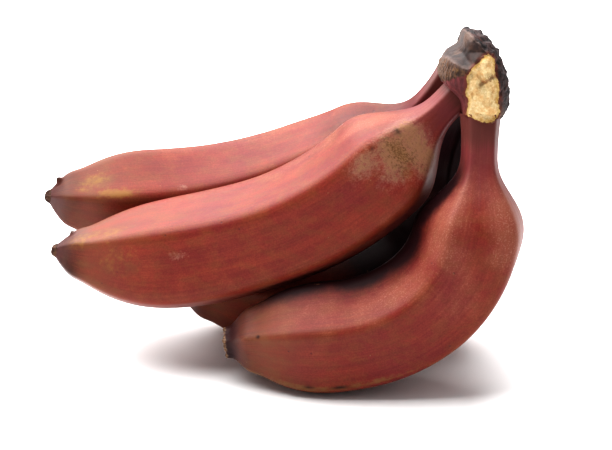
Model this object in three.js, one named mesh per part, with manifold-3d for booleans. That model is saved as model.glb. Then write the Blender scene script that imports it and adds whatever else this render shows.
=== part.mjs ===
// A part-hand of four red bananas, still joined to the piece of crown that they grew from.
// It lies on a surface, on the outer curves of its two lower fingers, with the crown in the air.
//
// Millimetres. +Z is up, +X points from the tips to the crown, and -Y is the front.
// The origin is the middle of the bounding box, at the level of the surface.

import * as THREE from "three";
import { mergeVertices } from "three/addons/utils/BufferGeometryUtils.js";
import Module from "manifold-3d";

// ---------------------------------------------------------------- driving dimensions

// A finger is a bent, five-sided loft. Its headings are [droop, splay] pairs in degrees, at equal
// steps from the root in the crown to the blossom tip. Droop is how steeply the finger points
// down, and splay is how far it swings to the back. Girth is half the thickness of its body.
// Its stem is a slim neck that widens over the shoulder, and its body narrows over the taper to
// a dry nib, given by its radius.
// Ridge is where one of its five ridges runs, in degrees up from the front, at [root, tip].
const FINGERS = [
  {
    name: "finger_upper_back",
    root: [53, 44.3, 105],
    headings: [[60, 22], [38, 21], [17, 1], [0, -4], [-9, -7]],
    length: 176.5,
    girth: 18.4,
    stem: 16,
    shoulder: 40,
    taper: 45,
    nib: 2.8,
    ridge: [50, 18],
  },
  {
    name: "finger_upper_front",
    root: [59.5, 29.5, 107.5],
    headings: [[44, -9], [43, -4], [24, 6], [8, 4], [-13, 1]],
    length: 175.5,
    girth: 19.8,
    stem: 13,
    shoulder: 35,
    taper: 55,
    nib: 2.8,
    ridge: [40, 45],
  },
  {
    name: "finger_lower_front",
    root: [61.5, 17, 98.6],
    headings: [[89, -17], [81, -10], [38, -1], [5, 3], [8, 6]],
    length: 148.5,
    girth: 18.9,
    stem: 13,
    shoulder: 31,
    taper: 41,
    nib: 5,
    ridge: [34, 22],
  },
  {
    name: "finger_lower_back",
    root: [61.1, 33.4, 94.4],
    headings: [[66, 25], [85, 11], [25.3, 6.5], [-1, 3.5], [5, -2]],
    length: 165,
    girth: 19.2,
    stem: 26,
    shoulder: 34,
    taper: 45,
    nib: 3,
    ridge: [24, 12],
  },
];

const STEM_WAIST = 0.29; // slimmest part of a stem, as a share of the girth
const STEM_FLARE = 0.06; // how much a stem widens again into the crown, as a share of the girth
const TAPER_POWER = 2.6; // how bluntly a body closes towards its tip
const RIDGES = 5;
const FACE_FLATNESS = 6; // 2 is a round section, and higher is flatter faces and sharper ridges
const MEAN_SECTION = 1.04; // mean half-width of a section whose faces are 1 from its middle

// The crown is a thick slab. Its outline is drawn as seen from the front, as [x, z] points around
// its middle, and its right side is the arc where the hand was cut from its stalk.
const CROWN_OUTLINE = [
  [71.5, 104],
  [70, 115],
  [64.5, 122.5],
  [56, 125.5],
  [54, 120.5],
  [49.5, 117],
  [47, 109.5],
  [54, 101],
  [56.5, 92.5],
  [69, 94],
];
const CROWN_MIDDLE = [60, 107];
const CROWN_FRONT = 9;
const CROWN_BACK = 51;
const CROWN_SLOPE = -0.16; // fall of the slab for each millimetre towards the back
const CROWN_SQUARENESS = 3.5; // how squarely the slab ends at its front and back
const CROWN_END = 0.97; // share of the squared curve that the slab runs through

const SETTLE = 0.6; // how far the two resting fingers are pressed flat by their own weight
const GAP = 0.4; // how much wider the sockets of the stems are cut than the crown

const SIDES = 25;
const RINGS = 34;
const LINE_STEPS = 136;
const CROWN_SIDES = 36;
const CROWN_RINGS = 8;

const SKIN = 0x8f4034;
const CROWN_BROWN = 0x5a463c;

// ---------------------------------------------------------------- fingers

const smooth = THREE.MathUtils.smootherstep;

// Points and headings along a finger's middle line, at equal steps from root to tip.
function middleLine(finger) {
  const controls = finger.headings.map(([droop, splay]) => new THREE.Vector2(droop, splay));
  const headings = new THREE.SplineCurve(controls);
  const step = finger.length / LINE_STEPS;
  const place = new THREE.Vector3(...finger.root);
  const stations = [];
  for (let i = 0; i <= LINE_STEPS; i++) {
    const heading = headings.getPoint(i / LINE_STEPS);
    const droop = THREE.MathUtils.degToRad(heading.x);
    const splay = THREE.MathUtils.degToRad(heading.y);
    const along = new THREE.Vector3(
      -Math.cos(droop) * Math.cos(splay),
      Math.sin(splay),
      -Math.sin(droop) * Math.cos(splay),
    );
    const inner = new THREE.Vector3(-Math.sin(droop), 0, Math.cos(droop));
    const front = new THREE.Vector3().crossVectors(inner, along).normalize();
    stations.push({ place: place.clone(), inner, front });
    place.addScaledVector(along, step);
  }
  return stations;
}

// Half the thickness of a finger at a distance from its root.
function thickness(finger, distance) {
  const widening = smooth(distance, finger.stem, finger.stem + finger.shoulder);
  const flare = STEM_FLARE * Math.max(0, 1 - distance / finger.stem) ** 2;
  const neck = STEM_WAIST + (1 - STEM_WAIST) * widening + flare;
  const closing = Math.max(0, (distance - finger.length + finger.taper) / finger.taper);
  const body = finger.girth * neck * (1 - closing ** TAPER_POWER);
  return (body ** 4 + finger.nib ** 4) ** 0.25;
}

// Distance from the middle of a section to its edge, for a section of mean half-width 1.
function section(angle, ridge) {
  let sum = 0;
  for (let k = 0; k < RIDGES; k++) {
    const face = ridge + ((k + 0.5) * 2 * Math.PI) / RIDGES;
    sum += Math.max(0, Math.cos(angle - face)) ** FACE_FLATNESS;
  }
  return sum ** (-1 / FACE_FLATNESS) / MEAN_SECTION;
}

// A closed cylinder, bent along the middle line and shaped ring by ring.
function fingerGeometry(finger) {
  const stations = middleLine(finger);
  const geometry = new THREE.CylinderGeometry(1, 1, 1, SIDES, RINGS);
  const position = geometry.attributes.position;
  for (let i = 0; i < position.count; i++) {
    const share = 0.5 - position.getY(i);
    const station = stations[Math.round(share * LINE_STEPS)];
    const angle = Math.atan2(position.getZ(i), position.getX(i));
    const ridge = THREE.MathUtils.degToRad(THREE.MathUtils.lerp(...finger.ridge, share));
    const reach = Math.hypot(position.getX(i), position.getZ(i));
    const radius = reach * thickness(finger, share * finger.length) * section(angle, ridge);
    const point = station.place
      .clone()
      .addScaledVector(station.front, radius * Math.cos(angle))
      .addScaledVector(station.inner, radius * Math.sin(angle));
    position.setXYZ(i, ...point);
  }
  return geometry;
}

// ---------------------------------------------------------------- crown

// A closed cylinder from front to back, whose rings follow the outline and draw in at both ends.
function crownGeometry(grow = 0) {
  const corners = CROWN_OUTLINE.map(([x, z]) => new THREE.Vector3(x, 0, z));
  const outline = new THREE.CatmullRomCurve3(corners, true);
  const middle = new THREE.Vector3(CROWN_MIDDLE[0], 0, CROWN_MIDDLE[1]);
  const halfDepth = (CROWN_BACK - CROWN_FRONT) / 2;
  const geometry = new THREE.CylinderGeometry(1, 1, 1, CROWN_SIDES, CROWN_RINGS);
  const position = geometry.attributes.position;
  for (let i = 0; i < position.count; i++) {
    const turn = Math.atan2(position.getZ(i), position.getX(i)) / (2 * Math.PI);
    const reach = Math.hypot(position.getX(i), position.getZ(i));
    const across = Math.sin(Math.PI * position.getY(i));
    const drawn = (1 - Math.abs(across * CROWN_END) ** CROWN_SQUARENESS) ** (1 / CROWN_SQUARENESS);
    const edge = outline.getPoint((turn + 1) % 1).sub(middle);
    const point = edge.clone().setLength(edge.length() * drawn + grow).multiplyScalar(reach).add(middle);
    const depth = halfDepth * across + grow * Math.sign(across);
    position.setXYZ(i, point.x, CROWN_FRONT + halfDepth + depth, point.z + CROWN_SLOPE * depth);
  }
  return geometry;
}

// ---------------------------------------------------------------- solids

const wasm = await Module();
wasm.setup();

function solidFrom(geometry) {
  const bare = geometry.clone();
  bare.deleteAttribute("normal");
  bare.deleteAttribute("uv");
  const merged = mergeVertices(bare, 1e-4);
  return new wasm.Manifold(
    new wasm.Mesh({
      numProp: 3,
      vertProperties: new Float32Array(merged.attributes.position.array),
      triVerts: new Uint32Array(merged.index.array),
    }),
  );
}

function geometryFrom(solid) {
  const mesh = solid.getMesh();
  const geometry = new THREE.BufferGeometry();
  geometry.setAttribute("position", new THREE.BufferAttribute(new Float32Array(mesh.vertProperties), 3));
  geometry.setIndex(new THREE.BufferAttribute(new Uint32Array(mesh.triVerts), 1));
  geometry.computeVertexNormals();
  return geometry;
}

function largestPiece(solid) {
  return solid.decompose().reduce((best, piece) => (piece.volume() > best.volume() ? piece : best));
}

function skinMaterial() {
  return new THREE.MeshStandardMaterial({ color: SKIN, roughness: 0.45, metalness: 0 });
}

// Everything below the surface, so that what rests on it ends in a flat.
const ground = solidFrom(new THREE.BoxGeometry(400, 400, 100).translate(0, 0, SETTLE - 50));
const crownSocket = solidFrom(crownGeometry(GAP));

const hand = new THREE.Group();

for (const finger of FINGERS) {
  const grown = solidFrom(fingerGeometry(finger)).subtract(crownSocket).subtract(ground);
  const mesh = new THREE.Mesh(geometryFrom(largestPiece(grown)), skinMaterial());
  mesh.name = finger.name;
  hand.add(mesh);
}

const crown = new THREE.Mesh(
  geometryFrom(solidFrom(crownGeometry())),
  new THREE.MeshStandardMaterial({ color: CROWN_BROWN, roughness: 0.85, metalness: 0 }),
);
crown.name = "crown";
hand.add(crown);

const box = new THREE.Box3().setFromObject(hand);
const middle = box.getCenter(new THREE.Vector3());
hand.position.set(-middle.x, -middle.y, -box.min.z);

export default hand;
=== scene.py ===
import math

import bmesh
import bpy
import numpy as np
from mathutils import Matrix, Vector, noise


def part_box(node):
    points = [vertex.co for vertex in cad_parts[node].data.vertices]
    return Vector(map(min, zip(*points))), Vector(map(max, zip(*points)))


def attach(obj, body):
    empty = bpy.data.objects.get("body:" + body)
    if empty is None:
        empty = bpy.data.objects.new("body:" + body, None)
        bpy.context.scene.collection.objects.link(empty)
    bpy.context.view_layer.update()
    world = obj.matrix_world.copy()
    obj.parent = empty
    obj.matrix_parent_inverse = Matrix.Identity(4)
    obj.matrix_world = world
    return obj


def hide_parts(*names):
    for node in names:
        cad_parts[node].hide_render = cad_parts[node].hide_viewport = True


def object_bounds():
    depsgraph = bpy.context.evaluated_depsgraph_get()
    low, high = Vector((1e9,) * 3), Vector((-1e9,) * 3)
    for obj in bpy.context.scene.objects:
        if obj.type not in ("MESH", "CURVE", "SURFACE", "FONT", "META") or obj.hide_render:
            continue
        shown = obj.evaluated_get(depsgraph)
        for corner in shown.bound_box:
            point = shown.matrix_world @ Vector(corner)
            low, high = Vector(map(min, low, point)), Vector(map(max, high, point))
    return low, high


bl_info = {
    "name": "Red banana hand",
    "version": (1, 0, 0),
    "blender": (4, 5, 0),
    "location": "3D View > Sidebar > Red Bananas",
    "description": "Four red bananas on their crown, laid on a pale board in soft light",
    "category": "Add Mesh",
}

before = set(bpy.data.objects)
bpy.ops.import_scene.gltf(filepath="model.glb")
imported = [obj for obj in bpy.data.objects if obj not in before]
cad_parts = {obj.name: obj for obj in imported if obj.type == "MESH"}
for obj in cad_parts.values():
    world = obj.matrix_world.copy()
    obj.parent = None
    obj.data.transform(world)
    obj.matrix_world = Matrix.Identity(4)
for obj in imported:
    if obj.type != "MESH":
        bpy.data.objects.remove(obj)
CAD_LOW, CAD_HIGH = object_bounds()

MM = 0.001


# ---------------------------------------------------------------- shapes

# A finger is a bent, five-sided loft, drawn in millimetres. Its headings are (droop, splay) pairs
# in degrees, at equal steps from the root in the crown to the blossom tip. Its stem is a slim neck
# that widens over the shoulder, and its body narrows over the taper to a dry nib. Ridge is where
# one of its five ridges runs, in degrees up from the front, at (root, tip).
# A mark is (kind, distance from the root, angle up from the front, half length, half width,
# strength), where the halves are in millimetres along and around the finger.
# A sepal is (distance, angle, height, width), a dry scale left beside the nib, and a dent is
# (distance, angle, half length, half width, depth).
FINGERS = {
    "finger_upper_back": {
        "root": (53, 44.3, 105),
        "headings": ((60, 22), (38, 21), (17, 1), (0, -4), (-9, -7)),
        "length": 176.5,
        "girth": 18.4,
        "stem": 16,
        "shoulder": 40,
        "taper": 45,
        "nib": 2.8,
        "ridge": (50, 18),
        "marks": (
            ("khaki", 150, 29, 9, 2.4, 1.0),
            ("khaki", 158, 55, 8, 5, 0.75),
            ("khaki", 162, 38, 5, 3, 0.5),
            ("khaki", 60, 36, 5, 2, 0.6),
            ("khaki", 64, 205, 16, 8, 0.6),
            ("scar", 124, 34, 3, 1.2, 0.75),
            ("bruise_and_shade", 38, 70, 34, 18, 0.62),
            ("bruise_and_shade", 86, 70, 40, 18, 0.3),
            # This haze on the upper face is partly a painted sheen of the light above.
            ("bloom_and_sheen", 88, 115, 40, 10, 0.45),
            ("scar", 120, 190, 10, 6, 0.6),
        ),
        "sepals": ((171.4, 84, 1.7, 0.9), (172.6, 215, 0.8, 1.0)),
        "dents": ((50, 100, 18, 16, 1.3),),
    },
    "finger_upper_front": {
        "root": (59.5, 29.5, 107.5),
        "headings": ((44, -9), (43, -4), (24, 6), (8, 4), (-13, 1)),
        "length": 175.5,
        "girth": 19.8,
        "stem": 13,
        "shoulder": 35,
        "taper": 55,
        "nib": 2.8,
        "ridge": (40, 45),
        "marks": (
            ("scar", 36, 16, 8, 9, 1.0),
            ("scar", 29, 20, 6, 11, 0.85),
            ("scar", 46, 29, 9, 5, 0.72),
            ("scar", 31, 347, 7, 12, 0.85),
            ("scar", 40, 4, 8, 8, 0.7),
            ("smear", 35.5, 12, 3, 9, 1.0),
            ("smear", 38, 352, 3, 4, 0.9),
            ("bruise_and_shade", 31.4, 38, 1.3, 1.8, 0.85),
            ("bruise_and_shade", 40.9, 36, 1.4, 0.6, 0.7),
            ("bruise_and_shade", 168, 330, 6, 9, 0.6),
            ("khaki", 163, 62, 9, 5, 0.62),
            ("khaki", 153, 62, 10, 5, 0.55),
            ("khaki", 150, 20, 14, 9, 0.42),
            ("khaki", 70, 205, 20, 8, 0.6),
            # The first two haze marks, on the upper faces, are partly a painted sheen of the light
            # above.
            ("bloom_and_sheen", 36, 84, 16, 5, 0.8),
            ("bloom_and_sheen", 60, 110, 46, 10, 0.5),
            ("bloom_and_sheen", 95, 310, 60, 9, 0.4),
            ("scar", 125, 20, 5, 1.6, 0.62),
            ("scar", 100, 170, 14, 7, 0.6),
        ),
        "sepals": ((168.6, 100, 1.2, 0.9), (171.5, 225, 0.8, 1.0)),
        "dents": (),
    },
    "finger_lower_front": {
        "root": (61.5, 17, 98.6),
        "headings": ((89, -17), (81, -10), (38, -1), (5, 3), (8, 6)),
        "length": 148.5,
        "girth": 18.9,
        "stem": 13,
        "shoulder": 31,
        "taper": 41,
        "nib": 5,
        "ridge": (34, 22),
        "marks": (
            # The next four bruise marks are painted shade, where the upper front finger shades
            # this finger's inner face.
            ("bruise_and_shade", 34, 92, 18, 8, 1.3),
            ("bruise_and_shade", 60, 108, 26, 12, 1.8),
            ("bruise_and_shade", 90, 106, 26, 10, 1.7),
            ("bruise_and_shade", 120, 98, 20, 7, 1.3),
            ("bruise_and_shade", 134.6, 27, 0.9, 0.8, 1.0),
            ("bruise_and_shade", 147, 300, 4, 18, 0.75),
            ("bruise_and_shade", 145, 60, 4, 12, 0.6),
            ("bruise_and_shade", 118, 320, 2.4, 0.6, 0.9),
            ("bruise_and_shade", 108, 320, 3.6, 0.6, 0.9),
            ("rubbed", 138, 312, 12, 1.6, 0.7),
            ("rubbed", 120, 317, 18, 1.5, 0.9),
            ("rubbed", 98, 321, 18, 1.3, 0.8),
            ("rubbed", 78, 312, 16, 1.5, 0.7),
            ("rubbed", 139, 26, 7, 1.8, 0.45),
            ("khaki", 112, 170, 16, 8, 0.55),
            # The first three haze marks, along the upper face, are partly a painted highlight of
            # the light above.
            ("bloom_and_sheen", 42, 40, 24, 11, 0.75),
            ("bloom_and_sheen", 80, 48, 34, 8, 0.65),
            ("bloom_and_sheen", 115, 52, 24, 10, 0.4),
            ("bloom_and_sheen", 36, 322, 13, 9, 1.0),
            ("bloom_and_sheen", 60, 352, 14, 9, 0.3),
            ("scar", 60, 240, 12, 7, 0.55),
        ),
        "sepals": (),
        "dents": (),
    },
    "finger_lower_back": {
        "root": (61.1, 33.4, 94.4),
        "headings": ((66, 25), (85, 11), (25.3, 6.5), (-1, 3.5), (5, -2)),
        "length": 165,
        "girth": 19.2,
        "stem": 26,
        "shoulder": 34,
        "taper": 45,
        "nib": 3,
        "ridge": (24, 12),
        "marks": (
            # These two bruise marks are painted shade on the neck and inner face, which lie deep
            # between the other fingers.
            ("bruise_and_shade", 20, 10, 26, 16, 1.6),
            ("bruise_and_shade", 66, 60, 34, 20, 1.7),
            ("khaki", 136, 110, 12, 6, 0.8),
            ("khaki", 118, 200, 18, 5, 0.7),
            ("rubbed", 100, 236, 24, 2.6, 0.8),
            ("bloom_and_sheen", 60, 120, 30, 14, 0.7),
            ("bloom_and_sheen", 100, 150, 30, 12, 0.45),
            ("scar", 76, 190, 10, 7, 0.8),
        ),
        "sepals": ((160.6, 80, 1.6, 1.2), (161.4, 240, 1.2, 1.2)),
        "dents": (),
    },
}

STEM_WAIST = 0.29
STEM_FLARE = 0.06
TAPER_POWER = 2.6
RIDGES = 5
FACE_FLATNESS = 14
MEAN_SECTION = 1.067
SOLID_SIDES = 25
SOLID_SECTION = (6, 1.04)  # the flatness and mean of the plainer solids
LINE_STEPS = 136

# The skin's unevenness, and the forms of the tips, in millimetres or as shares of the thickness.
RING_CROWDING = 0.115  # how much closer the rings stand at both ends
SWELL_DEPTH = 0.28
SWELL_SIZE = 34
CORD_SIZE = 3.4
CORD_DEPTH = 0.05  # depth of the cords on the body
NECK_CORD_DEPTH = 0.22  # what the neck adds to it
NECK_CORD_REACH = 26  # how far past the stem that lasts
BLUNT_NIB = 4  # a nib of this radius or more ends in an open collar
NIB_REACH = 2.6
NIB_SHORTENING = 1.0
NIB_SLIMMING = 0.34
NIB_KNOB = 0.05
TIP_FULLNESS = 0.24
CRAG_DEPTH = 0.22
COLLAR_REACH = 3.5
COLLAR_HOLLOW = 3.2
MARK_KINDS = ("khaki", "scar", "smear", "rubbed", "bloom_and_sheen", "bruise_and_shade")

# The crown is a thick slab. Its outline is drawn as (x, z) points around its middle.
CROWN_OUTLINE = (
    (71.5, 104),
    (69, 114.5),
    (64.2, 122.2),
    (56, 125.4),
    (54, 120.5),
    (49.5, 117),
    (47, 109.5),
    (54, 101),
    (56.5, 92.5),
    (69, 94),
)
CROWN_MIDDLE = (60, 107)
CROWN_FRONT = 9
CROWN_BACK = 51
CROWN_SLOPE = -0.16
CROWN_SQUARENESS = 3.5

# The crown's torn and dried faces are drawn on a plane that leans back by this angle, as
# (across, up) points in millimetres from the model's origin. A lobe of flesh is (across, up,
# size, height).
LEAN = math.radians(20)
TORN_FLESH = (
    (73.8, 105.5),
    (71.4, 103.8),
    (68.0, 100.3),
    (66.5, 97.5),
    (66.2, 92.6),
    (66.9, 88.1),
    (66.2, 85.6),
    (69.7, 83.5),
    (75.0, 82.8),
    (77.4, 84.6),
    (78.1, 87.0),
    (77.7, 91.6),
    (76.7, 96.8),
    (76.3, 102.1),
    (75.0, 104.8),
)
DRIED_FILM = (
    (66.4, 117.0),
    (69.0, 110.1),
    (71.8, 107.6),
    (73.8, 105.5),
    (71.4, 103.8),
    (68.8, 100.7),
    (66.9, 99.7),
    (64.5, 100.3),
    (61.7, 102.4),
    (59.0, 105.9),
    (58.0, 109.5),
    (62.0, 117.0),
)
FILM_LIP = ((66.2, 115.0), (69.0, 110.1), (71.8, 107.6), (73.8, 105.5))
FILM_RIM = ((59.0, 105.9), (61.7, 102.4), (64.5, 100.3), (66.9, 99.7), (68.8, 100.7))
FLESH_CRACK = ((70.8, 94.7), (73.6, 96.1), (77.4, 98.7))
FLESH_LOBES = ((72.8, 100.7, 3.6, 1.5), (73.2, 89.1, 4.2, 2.0), (69.0, 95.1, 2.4, 0.9))
FLESH_STEP = 1.0  # how far the flesh lies below the rind around it
TORN_DEPTH = 1.1
SAG = 1.2  # how far the flesh hangs over the front neck
NECK_RADIUS = 7.2  # of the front neck, which the hanging flesh clears
NECK_CLEARANCE = 0.7
SCOOP_DEPTH = 3.6
SCOOP_REACH = 3.2  # how far in from its edge the film's scoop deepens


def hermite(points, share):
    """A point on the smooth curve through some points, at a share of its length from 0 to 1."""
    last = len(points) - 1
    place = share * last
    i = min(int(place), last)
    w = place - i
    before = np.array(points[max(i - 1, 0)], float)
    here = np.array(points[i], float)
    after = np.array(points[min(i + 1, last)], float)
    beyond = np.array(points[min(i + 2, last)], float)
    leaving = (after - before) / 2
    arriving = (beyond - here) / 2
    cubic = 2 * here - 2 * after + leaving + arriving
    square = -3 * here + 3 * after - 2 * leaving - arriving
    return ((cubic * w + square) * w + leaving) * w + here


def middle_line(finger):
    """Places, inward directions and frontward directions at equal steps from root to tip."""
    place = np.array(finger["root"], float)
    places, inners, fronts = [], [], []
    for i in range(LINE_STEPS + 1):
        droop, splay = np.radians(hermite(finger["headings"], i / LINE_STEPS))
        along = np.array(
            (
                -math.cos(droop) * math.cos(splay),
                math.sin(splay),
                -math.sin(droop) * math.cos(splay),
            )
        )
        inner = np.array((-math.sin(droop), 0, math.cos(droop)))
        front = np.cross(inner, along)
        places.append(place)
        inners.append(inner)
        fronts.append(front / np.linalg.norm(front))
        place = place + along * finger["length"] / LINE_STEPS
    return np.array(places), np.array(inners), np.array(fronts)


def thickness(finger, distance):
    """Half the thickness of a finger at some distances from its root."""
    t = np.clip((distance - finger["stem"]) / finger["shoulder"], 0, 1)
    widening = t * t * t * (t * (6 * t - 15) + 10)
    flare = STEM_FLARE * np.maximum(0, 1 - distance / finger["stem"]) ** 2
    neck = STEM_WAIST + (1 - STEM_WAIST) * widening + flare
    closing = (distance - finger["length"] + finger["taper"]) / finger["taper"]
    body = finger["girth"] * neck * (1 - np.clip(closing, 0, 1) ** TAPER_POWER)
    return (body**4 + finger["nib"] ** 4) ** 0.25


def section(angle, ridge, flatness=FACE_FLATNESS, mean=MEAN_SECTION):
    """Distance to the edge of a five-sided section, whose mean half-width is 1."""
    total = np.zeros_like(angle)
    for k in range(RIDGES):
        face = ridge + (k + 0.5) * 2 * math.pi / RIDGES
        total += np.maximum(0, np.cos(angle - face)) ** flatness
    return total ** (-1 / flatness) / mean


def rough(points, size, octaves=3):
    """Fractal noise from about -1 to 1, at points given in millimetres, for lumps of a size."""
    return np.array([noise.fractal(Vector(p) / size, 0.9, 2.0, octaves) for p in points])


def edge_distance(across, up, corners, closed=True):
    """Distance to a drawn line. For a closed one it is above 0 inside and below 0 outside."""
    nearest = np.full(across.shape, 1e9)
    inside = np.zeros(across.shape, bool)
    ends = corners[1:] + corners[:1] if closed else corners[1:]
    for (ax, ay), (bx, by) in zip(corners, ends):
        run = (bx - ax) ** 2 + (by - ay) ** 2
        t = np.clip(((across - ax) * (bx - ax) + (up - ay) * (by - ay)) / run, 0, 1)
        gap = np.hypot(across - ax - t * (bx - ax), up - ay - t * (by - ay))
        nearest = np.minimum(nearest, gap)
        if by != ay:
            crosses = ((ay > up) != (by > up)) & (
                across < (bx - ax) * (up - ay) / (by - ay) + ax
            )
            inside ^= crosses
    return np.where(inside, nearest, -nearest) if closed else nearest


def spread(distance, angle, half, at, around, long, wide):
    """How far off a place on a finger lies, squared, where 1 is the given half length or width."""
    turned = (angle - math.radians(around) + math.pi) % (2 * math.pi) - math.pi
    return ((distance - at) / long) ** 2 + (turned * half / wide) ** 2


def drawing_shift():
    """From the drawing's millimetres to the model's, by the low corner of one finger's solid."""
    finger = FINGERS["finger_upper_front"]
    places, inners, fronts = (line[::4] for line in middle_line(finger))
    share = np.linspace(0, 1, len(places))
    half = thickness(finger, share * finger["length"])
    ridge = np.radians(np.interp(share, (0, 1), finger["ridge"]))
    low = np.full(3, 1e9)
    for side in range(SOLID_SIDES):
        angle = math.pi / 2 + side * 2 * math.pi / SOLID_SIDES
        reach = half * section(np.full(half.shape, angle), ridge, *SOLID_SECTION)
        ring = places + fronts * (reach * math.cos(angle))[:, None]
        ring += inners * (reach * math.sin(angle))[:, None]
        low = np.minimum(low, ring.min(0))
    return np.array(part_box("finger_upper_front")[0]) / MM - low


SHIFT = drawing_shift()


def finish_piece(bm, name, node, material, rides="root"):
    """Turns a bmesh in metres into a smooth-shaded piece that stands for a CAD node."""
    bmesh.ops.recalc_face_normals(bm, faces=bm.faces)
    mesh = bpy.data.meshes.new(name)
    bm.to_mesh(mesh)
    bm.free()
    mesh.shade_smooth()
    mesh.materials.append(material)
    piece = bpy.data.objects.new(name, mesh)
    bpy.context.scene.collection.objects.link(piece)
    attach(piece, rides)
    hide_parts(node)
    return piece


def add_subdivision(piece, levels=1):
    """Halves a piece's faces smoothly, as many times as there are levels."""
    finer = piece.modifiers.new("Finer", "SUBSURF")
    finer.levels = levels
    finer.render_levels = levels


def store(bm, name, values):
    """Keeps one number for each vertex as an attribute for the materials."""
    layer = bm.verts.layers.float.new(name)
    for v, value in zip(bm.verts, values):
        v[layer] = float(value)


def move_to(bm, points):
    """Puts a bmesh's vertices at points given in millimetres."""
    for v, p in zip(bm.verts, points):
        v.co = p * MM


def along_line(share, rows):
    """The rows of a middle line, read at shares of its length."""
    steps = np.linspace(0, 1, LINE_STEPS + 1)
    return np.stack([np.interp(share, steps, rows[:, i]) for i in range(3)], 1)


def straight_tube(sides, rings):
    """A closed tube of radius 1 along Z from 0 to 1, with three rings and a point on each end."""
    bm = bmesh.new()
    bmesh.ops.create_cone(
        bm, cap_ends=True, segments=sides, radius1=1, radius2=1, depth=1
    )
    bmesh.ops.translate(bm, verts=bm.verts, vec=(0, 0, 0.5))
    long_edges = [e for e in bm.edges if abs(e.verts[0].co.z - e.verts[1].co.z) > 0.5]
    bmesh.ops.subdivide_edges(bm, edges=long_edges, cuts=rings - 1)
    caps = [f for f in bm.faces if len(f.verts) == sides]
    for _ in range(3):
        bmesh.ops.inset_individual(bm, faces=caps, thickness=0.24)
    bmesh.ops.poke(bm, faces=caps)
    bm.verts.ensure_lookup_table()
    return bm


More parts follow.
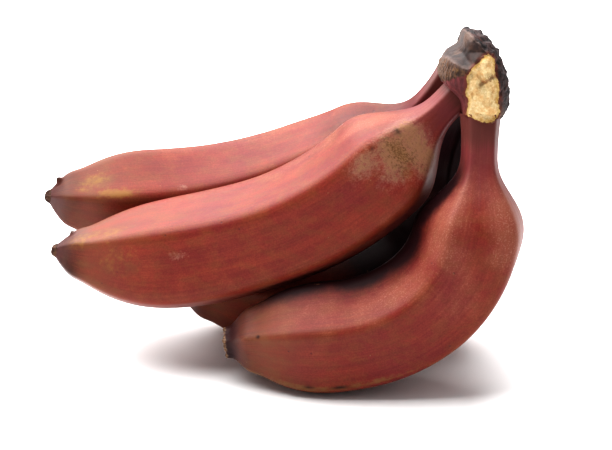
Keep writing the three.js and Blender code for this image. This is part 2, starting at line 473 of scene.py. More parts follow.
def grow_finger(name, finger, sides, rings):
    """The mesh of one finger in metres, with what its skin needs to know kept as attributes."""
    bm = straight_tube(sides, rings)
    raw = np.array([v.co for v in bm.verts])
    angle = np.arctan2(raw[:, 1], raw[:, 0])
    reach = np.minimum(np.hypot(raw[:, 0], raw[:, 1]), 1)
    # Rings crowd towards both ends, where the neck and the nib need them.
    share = np.clip(raw[:, 2] - RING_CROWDING * np.sin(2 * math.pi * raw[:, 2]), 0, 1)
    length = finger["length"]
    distance = share * length
    place, inner, front = (along_line(share, rows) for rows in middle_line(finger))
    ridge = np.radians(np.interp(share, (0, 1), finger["ridge"]))
    edge = section(angle, ridge)
    half = thickness(finger, distance)
    girth = finger["girth"]
    blunt = finger["nib"] >= BLUNT_NIB
    straight = np.stack((distance, girth * np.cos(angle), girth * np.sin(angle)), 1)
    seed = np.array((0, 0, 50.0 * list(FINGERS).index(name)))

    # Gentle unevenness: long swells, and fine lengthwise cords that show most on the neck.
    swell = SWELL_DEPTH * rough(straight + seed, SWELL_SIZE, 2)
    cords = rough((straight + seed) * (0.06, 1, 1), CORD_SIZE, 2)
    on_neck = np.clip(1 - (distance - finger["stem"]) / NECK_CORD_REACH, 0, 1)
    corded = CORD_DEPTH + NECK_CORD_DEPTH * on_neck
    from_tip = length - distance
    dry = from_tip * 0 if blunt else np.clip(1.15 - from_tip / NIB_REACH, 0, 1)
    fullness = TIP_FULLNESS * np.exp(-(((from_tip - 6.5) / 4.5) ** 2))
    slimming = NIB_SLIMMING * np.clip(1 - from_tip / 4.0, 0, 1) - fullness
    knob = NIB_KNOB * np.exp(-(((from_tip - 0.9) / 0.8) ** 2))
    crags = rough(straight * (1, 0.25, 0.25) + seed, 1.7, 3) * dry * CRAG_DEPTH
    radius = half * edge + (swell + cords * corded) * np.clip(half / girth, 0.25, 1)
    if blunt:
        radius = radius * (1 + fullness)
    else:
        radius = radius * (1 - slimming + knob) + crags
    for at, around, long, wide, depth in finger["dents"]:
        radius = radius - depth * np.exp(-spread(distance, angle, half, at, around, long, wide))
    sideways = radius * reach
    lift = np.zeros_like(sideways)
    at_tip = raw[:, 2] > 0.999
    dome = np.sqrt(np.maximum(0, 1 - reach**2))
    rim = np.zeros_like(sideways)
    hollow = np.zeros_like(sideways)
    if blunt:
        # A blunt end, where the dried flower fell: a ragged papery collar round a dark hollow.
        circle = np.stack((angle * 0, np.cos(angle) * 5, np.sin(angle) * 5), 1)
        ragged = rough(circle + seed, 1.5, 3)
        near = np.clip(1 - from_tip / COLLAR_REACH, 0, 1)
        lift += near * ragged * 0.6 * np.where(at_tip, reach**2, 1)
        sideways += near**2 * (0.3 + ragged * 0.4) * reach
        lift -= np.where(at_tip, COLLAR_HOLLOW * np.clip((1 - reach) / 0.3, 0, 1) ** 0.7, 0)
        rim = np.clip(1 - from_tip / 2.0 + ragged * 0.4, 0, 1)
        rim *= np.clip((reach - 0.62) / 0.2, 0, 1)
        hollow = np.where(at_tip, np.clip((0.95 - reach) / 0.2, 0, 1), 0)
    else:
        lift += np.where(at_tip, dome * 0.8 + crags * dome, 0) - NIB_SHORTENING * dry

    for at, around, height, width in finger["sepals"]:
        off = spread(distance, angle, half, at, around, width * 1.3, width)
        spike = np.maximum(0, 1 - off) ** 1.5 * np.where(at_tip, 0, 1)
        sideways += spike * height
        lift += spike * height * 0.9
        dry = np.maximum(dry, np.clip(spike * 1.6 - 0.5, 0, 1))

    along = np.cross(front, inner)
    point = place + front * (sideways * np.cos(angle))[:, None]
    point += inner * (sideways * np.sin(angle))[:, None] + along * lift[:, None] + SHIFT
    point[:, 2] = np.maximum(point[:, 2], 0)
    move_to(bm, point)

    marks = {kind: np.zeros_like(distance) for kind in MARK_KINDS}
    for kind, at, around, long, wide, strength in finger["marks"]:
        off = spread(distance, angle, half, at, around, long, wide)
        marks[kind] = np.maximum(marks[kind], strength * np.exp(-off))
    for kind, values in marks.items():
        store(bm, kind, values)
    store(bm, "from_root", distance)
    store(bm, "from_tip", from_tip)
    store(bm, "ridge", np.cos((angle - ridge) * RIDGES) * 0.5 + 0.5)
    store(bm, "dry", dry)
    store(bm, "rim", rim)
    store(bm, "hollow", hollow)
    layer = bm.verts.layers.float_vector.new("straight")
    for v, p in zip(bm.verts, straight + seed):
        v[layer] = Vector(p)
    return bm


def crown_outline(turn):
    """Places on the crown's outline from its middle, in millimetres, for turns from 0 to 1."""
    corners = [Vector((x, z)) for x, z in CROWN_OUTLINE]
    count = len(corners)
    edge = []
    for t in turn:
        i = int(t * count) % count
        w = t * count - int(t * count)
        around = [corners[(i + k) % count] for k in (-1, 0, 1, 2)]
        # A centripetal spline, so that the outline doesn't overshoot its corners.
        gaps = [max(1e-4, (around[k + 1] - around[k]).length ** 0.5) for k in range(3)]
        a, b, c = gaps
        leave = (around[1] - around[0]) / a - (around[2] - around[0]) / (a + b)
        leave = (leave + (around[2] - around[1]) / b) * b
        arrive = (around[2] - around[1]) / b - (around[3] - around[1]) / (b + c)
        arrive = (arrive + (around[3] - around[2]) / c) * b
        cubic = 2 * around[1] - 2 * around[2] + leave + arrive
        square = -3 * around[1] + 3 * around[2] - 2 * leave - arrive
        point = ((cubic * w + square) * w + leave) * w + around[1]
        edge.append((point.x - CROWN_MIDDLE[0], point.y - CROWN_MIDDLE[1]))
    return np.array(edge)


def grow_crown(detail):
    """The crown's mesh in metres, with its torn, dried and fibrous parts kept as attributes."""
    bm = bmesh.new()
    bmesh.ops.create_icosphere(bm, subdivisions=detail, radius=1)
    unit = np.array([v.co for v in bm.verts])
    unit /= np.linalg.norm(unit, axis=1)[:, None]
    turn = (np.arctan2(unit[:, 2], unit[:, 0]) / (2 * math.pi)) % 1
    power = 2 / CROWN_SQUARENESS
    across = np.sign(unit[:, 1]) * np.abs(unit[:, 1]) ** power
    drawn = np.hypot(unit[:, 0], unit[:, 2]) ** power
    edge = crown_outline(turn) * drawn[:, None]
    depth = (CROWN_BACK - CROWN_FRONT) / 2 * across
    point = np.stack(
        (
            edge[:, 0] + CROWN_MIDDLE[0],
            depth + (CROWN_FRONT + CROWN_BACK) / 2,
            edge[:, 1] + CROWN_MIDDLE[1] + CROWN_SLOPE * depth,
        ),
        1,
    )
    point += SHIFT
    move_to(bm, point)
    bm.normal_update()
    normal = np.array([v.normal for v in bm.verts])

    toward = np.array((0, -math.cos(LEAN), math.sin(LEAN)))
    facing = normal @ toward
    right = point[:, 0]
    up = point[:, 2] * math.cos(LEAN) + point[:, 1] * math.sin(LEAN)
    wobble = rough(point, 2.2, 3)
    fore = np.clip(facing / 0.35, 0, 1)

    flesh = edge_distance(right, up, TORN_FLESH) + rough(point + 5, 3.2, 3) * 0.55
    flesh = np.minimum(flesh, (facing + 0.2) * 12)
    film = np.minimum(edge_distance(right, up, DRIED_FILM), (facing + 0.1) * 12)
    lip = edge_distance(right, up, FILM_LIP, closed=False)
    rim = edge_distance(right, up, FILM_RIM, closed=False)
    crack = edge_distance(right, up, FLESH_CRACK, closed=False)

    # The scoop of the dried film, its raised lip, and the rolled rim below it.
    inside = np.clip(film, 0, None)
    scoop = SCOOP_DEPTH * (1 - np.exp(-((inside / SCOOP_REACH) ** 2)))
    raised = 0.7 * np.exp(-((lip / 0.6) ** 2)) + 0.6 * np.exp(-((rim / 0.8) ** 2))
    point -= toward * (scoop * fore)[:, None]
    point += toward * (raised * fore)[:, None]

    # The torn flesh: lobes with a crack across them, stepped down at its edge.
    in_flesh = np.clip(flesh / 0.8, 0, 1)
    lobes = sum(
        height * np.exp(-((right - x) ** 2 + (up - y) ** 2) / size**2)
        for x, y, size, height in FLESH_LOBES
    )
    torn = rough(point * (1, 1, 0.7), 3.0, 4) * TORN_DEPTH
    jagged = crack + rough(point + 9, 1.6, 2) * 0.9
    flesh_form = lobes - FLESH_STEP - 0.7 * np.exp(-((jagged / 0.6) ** 2)) + torn
    point += toward * (flesh_form * in_flesh * fore)[:, None]

    # At the bottom it hangs down, and bulges in front of the neck that it tore from.
    low = np.clip((95 - up) / 7, 0, 1) * np.clip(flesh + 1.2, 0, 1)
    low = low * low * (3 - 2 * low) * np.clip((facing + 0.4) / 0.5, 0, 1)
    point -= np.array((0, math.sin(LEAN), math.cos(LEAN))) * (SAG * low)[:, None]
    neck = middle_line(FINGERS["finger_lower_front"])[0][:18] + SHIFT
    neck_up = neck[:, 2] * math.cos(LEAN) + neck[:, 1] * math.sin(LEAN)
    sagged = up - SAG * low
    beside = right - np.interp(sagged, neck_up[::-1], neck[::-1, 0])
    ahead = np.interp(sagged, neck_up[::-1], (neck @ toward)[::-1])
    ahead += np.sqrt(np.maximum(0, NECK_RADIUS**2 - beside**2)) + NECK_CLEARANCE + torn * 0.4
    point += toward * (np.maximum(0, ahead - point @ toward) * low)[:, None]

    # Everything else is cracked and dry on the cut, and fibrous towards the necks.
    cut = np.clip(0.5 + (right - 66) / 10 + (up - 105.5) / 14, 0, 1) * (1 - in_flesh)
    cut *= 1 - np.clip(film / 0.8, 0, 1)
    crags = rough(point, 3.4, 4)
    ridged = np.abs(rough(point * (1, 0.8, 0.8), 5.5, 3))
    fibres = rough(point @ np.array(((0.9, 0, 0.35), (0, 1, 0), (-0.05, 0, 0.12))), 1.2, 2)
    grown = 97.5 - up + np.maximum(0, 60 - right) * -0.6 + rough(point, 3.0, 3) * 1.3
    grown -= np.maximum(0, right - 67) * 3
    band = (1 - cut) * (1 - in_flesh) * (1 - np.clip(film / 0.8, 0, 1))
    band *= 1 - np.clip(grown / 1.2, 0, 1)
    push = cut * (crags * 0.75 - ridged * 0.9 + 0.25) + band * (fibres * 0.4 + crags * 0.25)
    push += wobble * 0.12
    point += normal * push[:, None]

    move_to(bm, point)
    store(bm, "flesh", flesh)
    store(bm, "film", film)
    store(bm, "lip", np.where(facing > 0, lip, 9))
    store(bm, "film_rim", np.where(facing > 0, rim, 9))
    store(bm, "crack", np.where(flesh > -1, jagged, 9))
    store(bm, "cut", cut)
    store(bm, "grown", grown)
    store(bm, "hollows", ridged * 2 - crags)
    return bm


# ---------------------------------------------------------------- materials


class Wire:
    """An output of a shader node. Python sums on wires add the Math nodes that they need."""

    def __init__(self, paint, socket):
        self.paint = paint
        self.socket = socket

    def math(self, operation, first, second):
        return self.paint.node("ShaderNodeMath", {"operation": operation}, {0: first, 1: second})

    def __add__(self, other):
        return self.math("ADD", self, other)

    def __sub__(self, other):
        return self.math("SUBTRACT", self, other)

    def __rsub__(self, other):
        return self.math("SUBTRACT", other, self)

    def __mul__(self, other):
        return self.math("MULTIPLY", self, other)

    __radd__ = __add__
    __rmul__ = __mul__


class Paint:
    """A material being built, with one method that adds any node."""

    def __init__(self, name):
        self.material = bpy.data.materials.new(name)
        self.material.use_nodes = True
        self.tree = self.material.node_tree
        self.tree.nodes.clear()

    def node(self, kind, settings=None, inputs=None, output=0):
        made = self.tree.nodes.new(kind)
        for name, value in (settings or {}).items():
            setattr(made, name, value)
        for name, value in (inputs or {}).items():
            if isinstance(value, Wire):
                self.tree.links.new(value.socket, made.inputs[name])
            else:
                made.inputs[name].default_value = value
        return Wire(self, made.outputs[output]) if made.outputs else None

    def attribute(self, name, output="Fac"):
        return self.node("ShaderNodeAttribute", {"attribute_name": name}, output=output)

    def object_mm(self):
        """Object coordinates in millimetres."""
        place = self.node("ShaderNodeTexCoord", output="Object")
        return self.stretch(place, (1000, 1000, 1000))

    def stretch(self, vector, by):
        return self.node(
            "ShaderNodeVectorMath", {"operation": "MULTIPLY"}, {0: vector, 1: by}
        )

    def cloud(self, vector, scale, detail=3.0, roughness=0.55, distortion=0.0):
        return self.node(
            "ShaderNodeTexNoise",
            {},
            {
                "Vector": vector,
                "Scale": scale,
                "Detail": detail,
                "Roughness": roughness,
                "Distortion": distortion,
            },
        )

    def step(self, value, low, high):
        """0 below low, 1 above high, and smooth between them. Low may be the higher of the two."""
        return self.node(
            "ShaderNodeMapRange",
            {"interpolation_type": "SMOOTHSTEP"},
            {0: value, 1: low, 2: high, 3: 0.0, 4: 1.0},
        )

    def mix(self, factor, first, second, blend_type="MIX"):
        """Two colours mixed. A factor of 0 is all the first."""
        return self.node(
            "ShaderNodeMix",
            {"data_type": "RGBA", "blend_type": blend_type},
            {0: factor, 6: colour(first), 7: colour(second)},
            output=2,
        )

    def dots(self, vector, scale, size, share):
        """Sparse round dots: the share of cells that hold one, and its size within the cell."""
        cells = {"Vector": vector, "Scale": scale, "Randomness": 1.0}
        near = self.node("ShaderNodeTexVoronoi", {}, cells, output="Distance")
        chance = self.node("ShaderNodeTexVoronoi", {}, cells, output="Color")
        pick = self.node("ShaderNodeSeparateColor", {}, {0: chance})
        return self.step(near, size, size * 0.45) * self.step(pick, 1 - share, 1 - share + 0.02)

    def bump(self, height, strength, distance):
        return self.node(
            "ShaderNodeBump", {}, {"Height": height, "Strength": strength, "Distance": distance}
        )

    def surface(self, base, roughness, normal, **constants):
        inputs = {"Base Color": base, "Roughness": roughness, "Normal": normal}
        inputs.update({name.replace("_", " "): value for name, value in constants.items()})
        shader = self.node("ShaderNodeBsdfPrincipled", {}, inputs)
        self.node("ShaderNodeOutputMaterial", {}, {"Surface": shader})
        return self.material


def colour(value):
    """A colour as a socket takes it."""
    return value if isinstance(value, Wire) else (*value[:3], 1.0)


def red_skin(skin):
    """Ripe red banana skin: satin, streaked lengthwise, hazed, khaki and scarred in places, with a
    painted sheen in the haze and painted shade between the fingers.
    """
    p = Paint("red_skin")
    place = p.object_mm()
    straight = p.attribute("straight", "Vector")
    from_tip = p.attribute("from_tip")
    from_root = p.attribute("from_root")
    ridge = p.attribute("ridge")

    grain = p.cloud(place, 1.9, 3)
    mottle = p.cloud(place, 0.11, 4, 0.6)
    patches = p.cloud(place, 0.03, 2)
    streaks = p.cloud(p.stretch(straight, (0.05, 1.5, 1.5)), 1.0, 3, 0.6)
    bands = p.cloud(p.stretch(straight, (0.012, 0.16, 0.16)), 1.0, 3)

    base = p.mix(p.step(bands, 0.32, 0.68), skin.deep, skin.red)
    base = p.mix(p.step(mottle, 0.42, 0.75) * 0.7, base, skin.warm)
    base = p.mix(p.step(patches, 0.45, 0.7) * 0.5, base, skin.crimson)
    olive = p.cloud(p.stretch(place, (0.6, 1, 1)), 0.22, 5, 0.65)
    base = p.mix(p.step(olive, 0.42, 0.66) * 0.5, base, skin.rust)
    base = p.mix(p.step(streaks, 0.5, 0.8) * 0.25, base, skin.rust)
    base = p.mix(p.step(ridge, 0.72, 1.0) * p.step(mottle, 0.35, 0.6) * 0.4, base, skin.rust)
    lines = p.mix(p.step(streaks, 0.25, 0.75), (0.90, 0.89, 0.90), (1.09, 1.07, 1.05))
    base = p.mix(1.0, base, lines, "MULTIPLY")
    pores = p.mix(p.step(grain, 0.28, 0.72), (0.84, 0.82, 0.82), (1.14, 1.13, 1.12))
    base = p.mix(1.0, base, pores, "MULTIPLY")

    # Towards the tip the red turns to khaki brown, and then to dark brown at the nib.
    browning = p.step(from_tip + (bands - 0.5) * 30 + (mottle - 0.5) * 24, 46, 4)
    base = p.mix(browning * (olive * 0.9 + 0.15), base, skin.tip)
    dusk = p.step(from_tip + (streaks - 0.5) * 9 + (mottle - 0.5) * 8, 16, 1)
    base = p.mix(dusk * 0.85, base, skin.dusk)

    # The neck is darker and duller, and browns where it grows out of the crown.
    neck = p.step(from_root + (bands - 0.5) * 14, 36, 14)
    base = p.mix(neck * (streaks * 0.5 + 0.45), base, skin.neck)
    root = p.step(from_root + (streaks - 0.5) * 12, 14, 8)
    base = p.mix(root * 0.75, base, skin.root)

    # A dry pink bloom, which on the upper faces is partly a painted sheen of the soft light above,
    # finely stippled where the bloom has been touched.
    bloom_and_sheen_edge = p.attribute("bloom_and_sheen") + (mottle - 0.5) * 0.9 + (streaks - 0.5) * 0.25
    bloom_and_sheen = p.step(bloom_and_sheen_edge, 0.1, 0.85)
    base = p.mix(bloom_and_sheen * 0.5, base, skin.bloom_and_sheen)
    base = p.mix(p.step(bloom_and_sheen_edge, 0.9, 1.7) * 0.75, base, skin.frost)
    stipple = p.step(grain, 0.5, 0.72) * bloom_and_sheen
    base = p.mix(stipple * 0.4, base, skin.frost)

    # Khaki blotches with freckled edges.
    freckle = p.cloud(place, 0.55, 4, 0.65)
    khaki = p.step(p.attribute("khaki") + (freckle - 0.5) * 1.1 + (mottle - 0.5) * 0.6, 0.3, 0.95)
    base = p.mix(khaki * 0.75, base, skin.khaki)
    rubbed = p.step(p.attribute("rubbed") + (freckle - 0.5) * 0.9, 0.36, 0.74)
    base = p.mix(rubbed * 0.75, base, skin.rubbed)

    # A corky tan scar, dusted at its edge and flecked with olive brown.
    scar_mask = p.attribute("scar") + (freckle - 0.5) * 0.8 + (grain - 0.5) * 0.5
    dust = p.step(scar_mask, 0.2, 0.75)
    scar = p.step(scar_mask, 0.5, 0.8)
    base = p.mix(dust * 0.4, base, skin.frost)
    base = p.mix(scar * (freckle * 0.9 + 0.2), base, skin.scar)
    crackle = p.cloud(p.stretch(straight, (1.0, 0.55, 0.55)), 1.9, 5, 0.75)
    smear = p.attribute("smear")
    flecks = p.step(crackle + smear * 0.15, 0.54, 0.7) * p.step(p.attribute("scar"), 0.3, 0.8)
    base = p.mix(p.step(smear + (grain - 0.5) * 0.7, 0.3, 1.2) * 0.4, base, skin.khaki)
    base = p.mix(flecks * 0.7, base, skin.fleck)
    # Purplish black: real bruises, and painted shade where the lower fingers lie deep between the
    # others.
    bruise_and_shade = p.step(p.attribute("bruise_and_shade") + (freckle - 0.5) * 0.3, 0.12, 1.0)
    base = p.mix(bruise_and_shade * 0.94, base, skin.bruise_and_shade)

    # Freckles, pinpricks and little dry scratches over all of it.
    dark_dots = p.dots(place, 0.16, 0.085, 0.35)
    pale_dots = p.dots(place, 0.21, 0.07, 0.3)
    scratches = p.dots(p.stretch(straight, (0.16, 0.62, 0.62)), 0.55, 0.09, 0.10)
    base = p.mix(dark_dots * 0.55, base, skin.dusk)
    base = p.mix(pale_dots * 0.5, base, skin.scar)
    base = p.mix(scratches * 0.5, base, skin.scar)

    dry = p.step(p.attribute("dry") + (freckle - 0.5) * 0.5, 0.25, 0.6)
    hollow = p.step(p.attribute("hollow") + (grain - 0.5) * 0.6, 0.3, 0.6)
    rim = p.step(p.attribute("rim") + (freckle - 0.5) * 0.9, 0.3, 0.6)
    base = p.mix(dry, base, p.mix(p.step(freckle, 0.4, 0.7), skin.nib, skin.nib_edge))
    base = p.mix(rim * 0.85, base, p.mix(p.step(grain, 0.4, 0.7), skin.nib_edge, skin.rim))
    base = p.mix(hollow, base, skin.nib)

    roughness = (
        (streaks - 0.5) * 0.16 + (grain - 0.5) * 0.12 + bloom_and_sheen * 0.10 + scar * 0.22
        + khaki * 0.08 + dry * 0.3 + neck * 0.06 + skin.roughness
    )
    height = (
        streaks * 0.25 + grain * 0.12 + freckle * 0.3 + dry * freckle * 2.0
        + scar * crackle * 1.6 - dark_dots * 0.5 + scratches * 0.3
    )
    normal = p.bump(height, 0.32, 0.0004)
    return p.surface(
        base, roughness, normal,
        IOR=1.46, Specular_IOR_Level=skin.gloss,
    )


def crown_rind(crown):
    """Dried crown: black-brown cut face, grey film, cream torn flesh and a fibrous khaki band."""
    p = Paint("crown_rind")
    place = p.object_mm()
    fine = p.cloud(place, 1.5, 4, 0.65)
    medium = p.cloud(place, 0.42, 4, 0.6)
    broad = p.cloud(place, 0.13, 3)
    fibre = p.cloud(p.stretch(place, (0.9, 0.35, 0.3)), 1.4, 4, 0.65, 0.6)
    flesh_edge = p.attribute("flesh") + (medium - 0.5) * 1.6 + (fine - 0.5) * 0.8
    film_edge = p.attribute("film") + (medium - 0.5) * 1.0
    lip = p.step(p.attribute("lip") + (fine - 0.5) * 0.8, 0.55, 0.1)
    film_rim = p.step(p.attribute("film_rim") + (medium - 0.5) * 1.6, 1.3, 0.2)
    hollows = p.attribute("hollows")

    # Fibrous khaki band.
    base = p.mix(p.step(fibre, 0.35, 0.68), crown.band_dark, crown.band)
    base = p.mix(p.step(medium, 0.55, 0.75) * 0.6, base, crown.khaki)
    speckle = p.dots(place, 0.75, 0.28, 0.5)
    base = p.mix(speckle * 0.7, base, crown.black)

    # The dark cut face, with rusty and grey places.
    dark = p.mix(p.step(medium, 0.38, 0.68), crown.black, crown.purple)
    dark = p.mix(p.step(broad, 0.52, 0.7) * p.step(fine, 0.4, 0.7) * 0.7, dark, crown.rust)
    dark = p.mix(p.step(fine, 0.56, 0.75) * 0.45, dark, crown.grey)
    dark = p.mix(p.step(hollows, 0.2, 1.4) * 0.6, dark, crown.black)
    cut = p.step(p.attribute("cut") + (medium - 0.5) * 0.5, 0.28, 0.62)
    base = p.mix(cut, base, dark)

    # Red skin of the necks, grown up to the band.
    strands = p.cloud(p.stretch(place, (0.5, 0.5, 0.12)), 1.2, 3, 0.6)
    red = p.mix(p.step(strands, 0.35, 0.65), crown.skin_dark, crown.skin)
    grown = p.step(p.attribute("grown") + (medium - 0.5) * 2.4, -0.2, 1.1) * (1 - cut)
    base = p.mix(grown, base, red)

    # The smooth dried film of the old stump and its pale lip.
    grey = p.mix(p.step(medium, 0.35, 0.7), crown.film_dark, crown.film)
    grey = p.mix(p.step(broad, 0.45, 0.65) * 0.35, grey, crown.band)
    film = p.step(film_edge, -0.25, 0.45)
    base = p.mix(film, base, grey)
    base = p.mix(film_rim * 0.55, base, crown.rim)
    base = p.mix(lip * 0.6, base, crown.rim)

    # Torn flesh: yellow at its edge, rusty in its cracks, cream on its lobes.
    cream = p.mix(p.step(medium, 0.3, 0.62), crown.flesh_warm, crown.flesh)
    cream = p.mix(p.step(fine, 0.56, 0.72) * 0.45, cream, crown.flesh_pale)
    cream = p.mix(p.step(flesh_edge, 1.6, 0.2) * 0.6, cream, crown.flesh_edge)
    crack = p.step(p.attribute("crack") + (fine - 0.5) * 1.8, 0.95, 0.1)
    cream = p.mix(crack * 0.55, cream, crown.flesh_brown)
    spots = p.step(p.cloud(place, 0.5, 3, 0.7, 1.0), 0.62, 0.72)
    cream = p.mix(spots * 0.3, cream, crown.flesh_brown)
    pulp = p.mix(p.step(fine, 0.3, 0.7), (0.93, 0.88, 0.78), (1.15, 1.15, 1.14))
    cream = p.mix(1.0, cream, pulp, "MULTIPLY")
    flesh = p.step(flesh_edge, -0.1, 0.25)
    scorched = p.step(flesh_edge, -1.5, 0.0) * (1 - flesh)
    base = p.mix(scorched * 0.8, base, crown.rust)
    base = p.mix(flesh, base, cream)

    roughness = (
        flesh * 0.05 - film * 0.04 + (fine - 0.5) * 0.25 + (medium - 0.5) * 0.1 + 0.68
    )
    height = (
        fine * 0.6 + medium * 0.9 + fibre * (1 - film) * (1 - flesh) * 1.1
        - crack * 0.8 - speckle * 0.4
    )
    normal = p.bump(height * (1 - film * 0.65), 0.65, 0.0006)
    return p.surface(base, roughness, normal, IOR=1.45, Specular_IOR_Level=0.42)


def pale_board(stage):
    """The matt board that the hand lies on."""
    p = Paint("pale_board")
    place = p.object_mm()
    paper = p.cloud(place, 0.8, 2)
    base = p.mix(p.step(paper, 0.3, 0.7), (stage.white * 0.995,) * 3, (stage.white,) * 3)
    return p.surface(base, paper * 0.1 + 0.75, p.bump(paper, 0.05, 0.0001), IOR=1.4)


# ---------------------------------------------------------------- settings


def tint(name, description, code):
    """A colour setting whose default is a web colour."""
    parts = [int(code[i : i + 2], 16) / 255 for i in (0, 2, 4)]
    linear = [c / 12.92 if c <= 0.04045 else ((c + 0.055) / 1.055) ** 2.4 for c in parts]
    return bpy.props.FloatVectorProperty(
        name=name, description=description, subtype="COLOR", size=3, min=0, max=1, default=linear
    )


class RedBananaSkin(bpy.types.PropertyGroup):
    red: tint("Red", "Main colour of the skin", "7c342a")
    deep: tint("Deep red", "Colour of the darker lengthwise bands", "6f2b27")
    warm: tint("Warm red", "Orange red that mottles the skin", "833c2c")
    crimson: tint("Crimson", "Cooler red of the older skin", "6e2b2f")
    rust: tint("Rust", "Brownish colour along the ridges", "724029")
    tip: tint("Tip", "Khaki brown towards the tip", "684631")
    dusk: tint("Dusk", "Dark brown beside the nib and in freckles", "3f2528")
    neck: tint("Neck", "Dull red of the neck", "703a3e")
    root: tint("Root", "Brown where the neck grows out of the crown", "5b3630")
    bloom_and_sheen: tint("Haze", "Dry pink haze", "905c4c")
    frost: tint("Frost", "Fine pale stipple in the haze", "a08070")
    khaki: tint("Khaki", "Colour of the unripe blotches", "866334")
    rubbed: tint("Rubbed", "Colour of the rubbed ridges", "775636")
    scar: tint("Scar", "Corky tan of the scars", "8a684c")
    bruise_and_shade: tint("Bruise", "Purplish black of the bruised and shaded places", "160a10")
    fleck: tint("Fleck", "Olive flecks in the scars", "4c3520")
    nib: tint("Nib", "Dark brown of the dry nib", "35211c")
    nib_edge: tint("Nib edge", "Paler brown on the crags of the nib", "5c4234")
    rim: tint("Collar", "Papery collar of the blunt tip", "a08468")
    roughness: bpy.props.FloatProperty(
        name="Roughness", description="How matt the skin is", default=0.44, min=0, max=1
    )
    gloss: bpy.props.FloatProperty(
        name="Gloss", description="How strongly the skin mirrors light", default=0.2, min=0, max=1
    )
    sides: bpy.props.IntProperty(
        name="Sides", description="Faces around a finger", default=80, min=20, max=120
    )
    rings: bpy.props.IntProperty(
        name="Rings", description="Faces along a finger", default=132, min=40, max=200
    )


class RedBananaCrown(bpy.types.PropertyGroup):
    black: tint("Black", "Darkest parts of the cut face", "1e1718")
    purple: tint("Purple", "Purplish dark of the cut face", "52403f")
    grey: tint("Grey", "Worn places on the cut face", "4c4246")
    rust: tint("Rust", "Rusty places and cracks", "6a3220")
    film: tint("Film", "Smooth dried film", "402d28")
    film_dark: tint("Dark film", "Darker places of the dried film", "261b19")
    rim: tint("Rim", "Pale lip and rim of the film", "62504a")
    band: tint("Band", "Fibrous khaki band", "6a4c38")
    band_dark: tint("Dark band", "Dark fibres of the band", "34241c")
    khaki: tint("Khaki", "Pale places of the band", "80603a")
    flesh: tint("Flesh", "Cream torn flesh", "ccb891")
    flesh_pale: tint("Pale flesh", "Palest fibres of the flesh", "dccfb0")
    flesh_warm: tint("Warm flesh", "Warmer hollows of the flesh", "bf9a6a")
    flesh_edge: tint("Flesh edge", "Yellow edge of the flesh", "a8853a")
    flesh_brown: tint("Flesh brown", "Bruised places of the flesh", "80482a")
    skin: tint("Skin", "Red skin of the necks", "74383a")
    skin_dark: tint("Dark skin", "Dark strands in the skin of the necks", "54292a")
    detail: bpy.props.IntProperty(
        name="Detail", description="Subdivisions of the crown's mesh", default=7, min=4, max=7
    )


class RedBananaStage(bpy.types.PropertyGroup):
    floor: bpy.props.FloatProperty(
        name="Board", description="Width of the board", default=6.0, unit="LENGTH", min=1
    )
    white: bpy.props.FloatProperty(
        name="White", description="How pale the board is", default=0.87, min=0, max=0.9
    )
    overhead: bpy.props.FloatProperty(
        name="Overhead light", description="Power of the soft light above", default=48.0, min=0
    )
    overhead_size: bpy.props.FloatProperty(
        name="Overhead size", description="Width of the light above", default=1.8, unit="LENGTH"
    )
    overhead_place: bpy.props.FloatVectorProperty(
        name="Overhead place", description="Middle of the light above", subtype="XYZ",
        unit="LENGTH", default=(-0.35, 0.35, 1.0),
    )
    room_back: bpy.props.FloatProperty(
        name="Room behind", description="Brightness of the room behind", default=0.7, min=0
    )
    room_front: bpy.props.FloatProperty(
        name="Room in front", description="Brightness of the room in front", default=0.45, min=0
    )
    lens: bpy.props.FloatProperty(
        name="Lens", description="Focal length in millimetres", default=151.4, min=10
    )
    distance: bpy.props.FloatProperty(
        name="Distance", description="From the camera to the bananas", default=0.94,
        unit="LENGTH",
    )
    elevation: bpy.props.FloatProperty(
        name="Elevation", description="Height of the camera above the horizon",
        subtype="ANGLE", default=math.radians(20),
    )
    aim: bpy.props.FloatVectorProperty(
        name="Aim", description="What the camera looks at, from the middle of the object",
        subtype="XYZ", unit="LENGTH", default=(0.0106, 0.0, -0.0141),
    )


# ---------------------------------------------------------------- operators


class REDBANANA_OT_fingers(bpy.types.Operator):
    """Grow the four fingers of the hand, each with its skin, its nib and its marks"""

    bl_idname = "red_banana.fingers"
    bl_label = "Grow fingers"

    def execute(self, context):
        skin = context.scene.red_banana_skin
        material = red_skin(skin)
        for name, finger in FINGERS.items():
            bm = grow_finger(name, finger, skin.sides, skin.rings)
            piece = finish_piece(bm, "red_" + name, name, material)
            add_subdivision(piece)
        return {"FINISHED"}


class REDBANANA_OT_crown(bpy.types.Operator):
    """Carve the piece of crown that holds the fingers together"""

    bl_idname = "red_banana.crown"
    bl_label = "Carve crown"

    def execute(self, context):
        crown = context.scene.red_banana_crown
        bm = grow_crown(crown.detail)
        piece = finish_piece(bm, "dried_crown", "crown", crown_rind(crown))
        return {"FINISHED"}


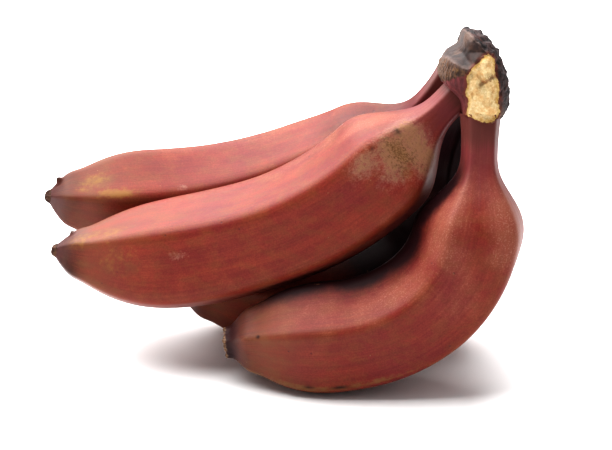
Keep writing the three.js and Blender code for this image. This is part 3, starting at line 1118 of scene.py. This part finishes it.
class REDBANANA_OT_stage(bpy.types.Operator):
    """Lay the pale board, hang the soft light and set up the camera"""

    bl_idname = "red_banana.stage"
    bl_label = "Set stage"

    def execute(self, context):
        stage = context.scene.red_banana_stage
        self.lay_board(context, stage)
        self.hang_lights(context, stage)
        self.place_camera(context, stage)
        context.scene.view_settings.view_transform = "Standard"
        context.scene.view_settings.look = "High Contrast"
        return {"FINISHED"}

    def lay_board(self, context, stage):
        bm = bmesh.new()
        bmesh.ops.create_grid(bm, x_segments=1, y_segments=1, size=stage.floor / 2)
        bmesh.ops.translate(bm, verts=bm.verts, vec=(0, 0, CAD_LOW.z - 0.0001))
        mesh = bpy.data.meshes.new("board")
        bm.to_mesh(mesh)
        bm.free()
        mesh.materials.append(pale_board(stage))
        board = bpy.data.objects.new("board", mesh)
        context.scene.collection.objects.link(board)

    def hang_lights(self, context, stage):
        light = bpy.data.lights.new("overhead", "AREA")
        light.shape = "DISK"
        light.size = stage.overhead_size
        light.energy = stage.overhead
        lamp = bpy.data.objects.new("overhead", light)
        lamp.location = stage.overhead_place
        lamp.rotation_euler = (-lamp.location).to_track_quat("-Z", "Y").to_euler()
        context.scene.collection.objects.link(lamp)

        world = bpy.data.worlds.new("room")
        context.scene.world = world
        world.use_nodes = True
        nodes, links = world.node_tree.nodes, world.node_tree.links
        nodes.clear()
        place = nodes.new("ShaderNodeTexCoord")
        split = nodes.new("ShaderNodeSeparateXYZ")
        brightness = nodes.new("ShaderNodeMapRange")
        brightness.interpolation_type = "SMOOTHSTEP"
        brightness.inputs["From Min"].default_value = -0.75
        brightness.inputs["From Max"].default_value = 0.85
        brightness.inputs["To Min"].default_value = stage.room_front
        brightness.inputs["To Max"].default_value = stage.room_back
        sky = nodes.new("ShaderNodeBackground")
        out = nodes.new("ShaderNodeOutputWorld")
        links.new(place.outputs["Generated"], split.inputs[0])
        links.new(split.outputs["Y"], brightness.inputs["Value"])
        links.new(brightness.outputs["Result"], sky.inputs["Strength"])
        links.new(sky.outputs[0], out.inputs[0])

    def place_camera(self, context, stage):
        lens = bpy.data.cameras.new("camera")
        lens.lens = stage.lens
        lens.sensor_width = 36
        lens.clip_start = 0.01
        camera = bpy.data.objects.new("camera", lens)
        aim = (CAD_LOW + CAD_HIGH) / 2 + Vector(stage.aim)
        back = Vector((0, -math.cos(stage.elevation), math.sin(stage.elevation)))
        camera.location = aim + back * stage.distance
        camera.rotation_euler = (-back).to_track_quat("-Z", "Y").to_euler()
        context.scene.collection.objects.link(camera)
        context.scene.camera = camera


class REDBANANA_PT_panel(bpy.types.Panel):
    """Lists what the red banana hand is made of"""

    bl_idname = "REDBANANA_PT_panel"
    bl_label = "Red Bananas"
    bl_space_type = "VIEW_3D"
    bl_region_type = "UI"
    bl_category = "Red Bananas"

    def draw(self, context):
        for operator in OPERATORS:
            self.layout.operator(operator.bl_idname)


OPERATORS = (REDBANANA_OT_fingers, REDBANANA_OT_crown, REDBANANA_OT_stage)
GROUPS = {
    "red_banana_skin": RedBananaSkin,
    "red_banana_crown": RedBananaCrown,
    "red_banana_stage": RedBananaStage,
}


def register():
    for group in GROUPS.values():
        bpy.utils.register_class(group)
    for name, group in GROUPS.items():
        setattr(bpy.types.Scene, name, bpy.props.PointerProperty(type=group))
    for operator in OPERATORS:
        bpy.utils.register_class(operator)
    bpy.utils.register_class(REDBANANA_PT_panel)


def unregister():
    bpy.utils.unregister_class(REDBANANA_PT_panel)
    for operator in reversed(OPERATORS):
        bpy.utils.unregister_class(operator)
    for name, group in GROUPS.items():
        delattr(bpy.types.Scene, name)
        bpy.utils.unregister_class(group)


def main():
    register()
    bpy.ops.red_banana.fingers()
    bpy.ops.red_banana.crown()
    bpy.ops.red_banana.stage()


if __name__ == "__main__":
    main()
